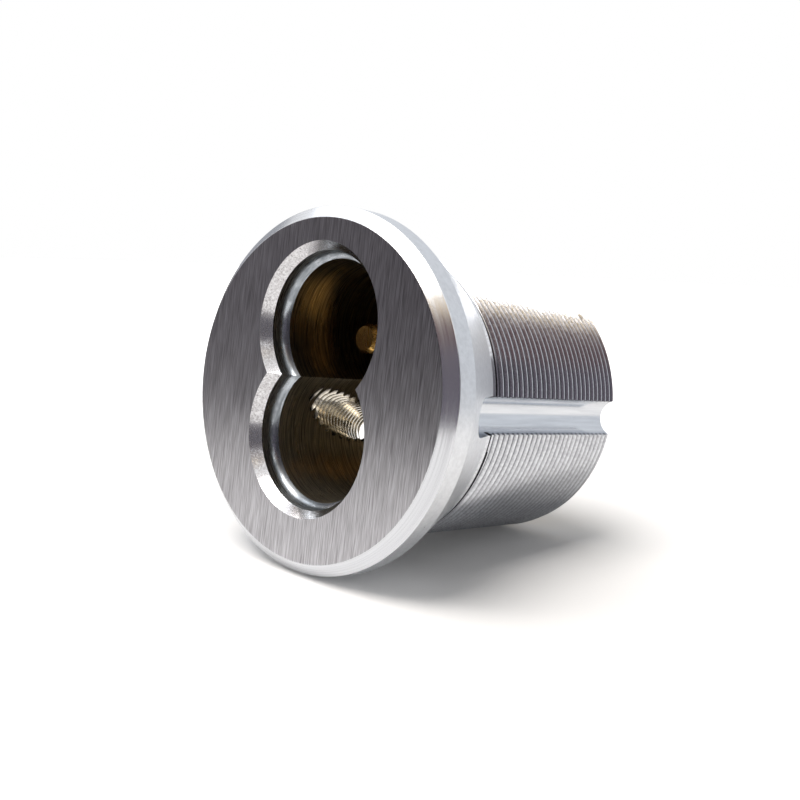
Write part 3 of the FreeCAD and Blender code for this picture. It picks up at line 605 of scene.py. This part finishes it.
for side in (1, -1):
    drill = turned("cam_drill", [
        (0, HUB_END - OVERRUN), (CAM_HOLE_RADIUS + EDGE, HUB_END - OVERRUN), (CAM_HOLE_RADIUS + EDGE, HUB_END),
        (CAM_HOLE_RADIUS, HUB_END + EDGE), (CAM_HOLE_RADIUS, CAM_END - EDGE), (CAM_HOLE_RADIUS + EDGE, CAM_END),
        (CAM_HOLE_RADIUS + EDGE, CAM_END + OVERRUN), (0, CAM_END + OVERRUN)],
        PLUG_HEIGHT + side * SCREW_OFFSET, steps=64)
    finish_with(drill, cam_brass)
    cut_with(cam, drill)
smooth(cam)
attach(cam, "throw_body")
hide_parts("cam")

# Cam screws: one cheese-head screw, turned and slotted, then copied with a mesh of its own.

screw = turned("cam_screw_above", [
    (0, SCREW_START), (SCREW_RADIUS, SCREW_START), (SCREW_RADIUS, CAM_END), (HEAD_RADIUS, CAM_END),
    (HEAD_RADIUS, HEAD_END - HEAD_EDGE), (HEAD_RADIUS - HEAD_EDGE, HEAD_END), (0, HEAD_END)],
    PLUG_HEIGHT + SCREW_OFFSET, steps=64, edge_break=SCREW_EDGE)
finish_with(screw, plated_steel)
bpy.ops.object.select_all(action="DESELECT")
bpy.ops.mesh.primitive_cube_add(size=1)
saw = bpy.context.object
edit_all()
bpy.ops.transform.resize(value=(3 * HEAD_RADIUS * MM, (SCREW_SLOT_DEPTH + OVERRUN) * MM, SCREW_SLOT * MM))
bpy.ops.transform.translate(
    value=place(0, HEAD_END + (OVERRUN - SCREW_SLOT_DEPTH) / 2, PLUG_HEIGHT + SCREW_OFFSET))
bpy.ops.object.mode_set(mode="OBJECT")
finish_with(saw, plated_steel)
cut_with(screw, saw)
smooth(screw)
active(screw)
bpy.ops.object.duplicate()
lower_screw = bpy.context.object
lower_screw.name = "cam_screw_below"
edit_all()
bpy.ops.transform.translate(value=(0, 0, -2 * SCREW_OFFSET * MM))
bpy.ops.object.mode_set(mode="OBJECT")
for piece, node_name in ((screw, "cam_screw_upper"), (lower_screw, "cam_screw_lower")):
    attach(piece, "throw_body")
    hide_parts(node_name)

# The table, the light round it and the camera, in metres. The part lies on its rim and the end of its body.

TABLE_SLOPE = 6.5
TABLE_RADIUS = 0.8
SHADOW_REACH = 0.03
SHADOW_LIFT = 0.05
WHITE_FROM = 0.18
WHITE_LIFT = 0.6
table_turn = Matrix.Rotation(math.radians(TABLE_SLOPE), 4, "X")
table_point = place(0, RIM_END, -RIM_RADIUS)


def heading(azimuth, elevation):
    """Direction seen from the part, in the table's frame: 0 is straight in front, 90 to the right."""
    turn = math.radians(azimuth)
    rise = math.radians(elevation)
    flat_part = math.cos(rise)
    return table_turn @ Vector((math.sin(turn) * flat_part, -math.cos(turn) * flat_part, math.sin(rise)))


def seen_directly(tree):
    """1 where camera, metal or glass sees the surface, 0 where it only gives light."""
    ray = node(tree, "ShaderNodeLightPath")
    seen = ray.outputs["Is Camera Ray"]
    for kind in ("Is Glossy Ray", "Is Transmission Ray"):
        seen = node(tree, "ShaderNodeMath", [(0, seen), (1, ray.outputs[kind])], operation="MAXIMUM").outputs[0]
    return seen


bpy.ops.object.select_all(action="DESELECT")
bpy.ops.mesh.primitive_circle_add(vertices=96, radius=TABLE_RADIUS, fill_type="NGON")
floor = bpy.context.object
floor.name = "table"
floor.matrix_world = Matrix.Translation(table_point) @ table_turn
white_table, tree = new_material("white_table")
shade = node(tree, "ShaderNodeMix", data_type="RGBA", inputs=[
    ("Factor", seen_directly(tree)), (6, colour("e6e6e6")), (7, colour("ffffff"))])
paint = node(tree, "ShaderNodeBsdfDiffuse", [("Color", shade.outputs[2])])
# Away from the part and its shadow the table is as white as the backdrop.
middle_out = node(tree, "ShaderNodeVectorMath", [(0, node(tree, "ShaderNodeTexCoord").outputs["Object"])],
                  operation="LENGTH")
whiter = node(tree, "ShaderNodeMapRange", [
    ("Value", middle_out.outputs["Value"]), ("From Min", SHADOW_REACH), ("From Max", WHITE_FROM),
    ("To Min", SHADOW_LIFT), ("To Max", WHITE_LIFT)])
in_view = node(tree, "ShaderNodeLightPath").outputs["Is Camera Ray"]
lifted = node(tree, "ShaderNodeMath", [(0, in_view), (1, whiter.outputs[0])], operation="MULTIPLY")
glow = node(tree, "ShaderNodeEmission", [("Color", colour("ffffff")), ("Strength", lifted.outputs[0])])
both = node(tree, "ShaderNodeAddShader", [(0, glow.outputs[0]), (1, paint.outputs[0])])
node(tree, "ShaderNodeOutputMaterial", [("Surface", both.outputs[0])])
finish_with(floor, white_table)

world = bpy.data.worlds.new("studio")
bpy.context.scene.world = world
world.use_nodes = True
tree = world.node_tree
tree.nodes.clear()
fill = node(tree, "ShaderNodeBackground", [("Color", colour("ffffff")), ("Strength", 0.25)])
backdrop = node(tree, "ShaderNodeBackground", [("Color", colour("ffffff")), ("Strength", 1.0)])
either = node(tree, "ShaderNodeMixShader", [
    (0, seen_directly(tree)), (1, fill.outputs[0]), (2, backdrop.outputs[0])])
node(tree, "ShaderNodeOutputWorld", [("Surface", either.outputs[0])])


def lamp(name, azimuth, elevation, distance, width, height, watts, tint):
    """A flat lamp that faces the part."""
    data = bpy.data.lights.new(name, "AREA")
    data.shape = "RECTANGLE"
    data.size = width
    data.size_y = height
    data.energy = watts
    data.color = colour(tint)[:3]
    made = bpy.data.objects.new(name, data)
    bpy.context.scene.collection.objects.link(made)
    away = heading(azimuth, elevation)
    made.location = away * distance
    made.rotation_mode = "QUATERNION"
    made.rotation_quaternion = away.to_track_quat("Z", "Y")


# A warm ceiling lamp in front throws the shadow back and to the right; a wide window lights from the left.
lamp("ceiling_lamp", -10, 68, 2.0, 1.3, 1.2, 37.0, "fffaf5")
lamp("window", -84, 54, 2.0, 1.6, 1.0, 6.0, "f4f8ff")


def screen(name, start, end, low, high, shade):
    """A wall or curtain beside the table, seen only in reflections. Its ends are (azimuth, distance) pairs, low and
    high its edges above the table."""
    bpy.ops.object.select_all(action="DESELECT")
    bpy.ops.mesh.primitive_plane_add(size=1)
    made = bpy.context.object
    made.name = name
    ends = [table_point + heading(azimuth, 0) * distance for azimuth, distance in (start, end)]
    side = ends[1] - ends[0]
    up = table_turn @ Vector((0, 0, 1))
    axes = Matrix((side.normalized(), up, side.cross(up).normalized())).transposed().to_4x4()
    middle = (ends[0] + ends[1]) / 2 + up * (low + high) / 2
    made.matrix_world = Matrix.Translation(middle) @ axes @ Matrix.Diagonal((side.length, high - low, 1, 1))
    cloth, tree = new_material(name + "_cloth")
    dim = node(tree, "ShaderNodeEmission", [("Color", colour(shade)), ("Strength", 1.0)])
    node(tree, "ShaderNodeOutputMaterial", [("Surface", dim.outputs[0])])
    finish_with(made, cloth)
    made.visible_camera = False
    made.visible_diffuse = False
    made.visible_shadow = False


screen("curtain_left", (-82, 0.2), (-49, 0.19), 0, 0.13, "8a868a")
screen("curtain_front_left", (-49, 0.19), (-40, 0.26), 0, 0.17, "4c484e")
screen("curtain_front", (-40, 0.26), (26, 0.22), 0, 0.15, "48454a")
screen("curtain_camera", (26, 0.22), (56, 0.24), 0, 0.15, "6e6872")
screen("curtain_right", (56, 0.3), (124, 0.3), 0, 0.17, "6e6c72")
# Above the curtains: a strip of brown wall and the lamp's warm glow over it.
screen("brown_wall", (-34, 0.3), (60, 0.3), 0.12, 0.235, "6a565a")
screen("warm_wall", (-34, 0.31), (60, 0.31), 0.235, 0.31, "ecd6b4")
# Behind the part: pale walls close by, and a grey one to the left.
screen("back_wall_right", (122, 0.13), (180, 0.13), 0, 0.16, "dcdfe4")
screen("back_wall_left", (-180, 0.13), (-140, 0.15), 0, 0.16, "d8dce2")
screen("grey_wall_low", (-130, 0.4), (-96, 0.4), 0, 0.045, "807e78")
screen("grey_wall_high", (-130, 0.4), (-96, 0.4), 0.045, 0.2, "a6a8ae")

# The camera stands in front, to the right and a little above the part's middle, as the photograph's did.
CAMERA_AT = (72.792, -89.163, 7.854)
CAMERA_RIGHT = (0.70139, 0.70326, 0.1161)
CAMERA_UP = (-0.16422, 0.00094, 0.98642)
CAMERA_BACK = (0.6936, -0.71093, 0.11615)
lens = bpy.data.cameras.new("camera")
lens.sensor_width = 36.0
lens.lens = 46.61
lens.shift_x = 0.0627
lens.shift_y = 0.0449
lens.clip_start = 0.005
camera = bpy.data.objects.new("camera", lens)
bpy.context.scene.collection.objects.link(camera)
camera.matrix_world = Matrix.Translation(Vector(CAMERA_AT) * MM) @ Matrix(
    (CAMERA_RIGHT, CAMERA_UP, CAMERA_BACK)).transposed().to_4x4()
bpy.context.scene.camera = camera
bpy.context.scene.view_settings.view_transform = "Standard"
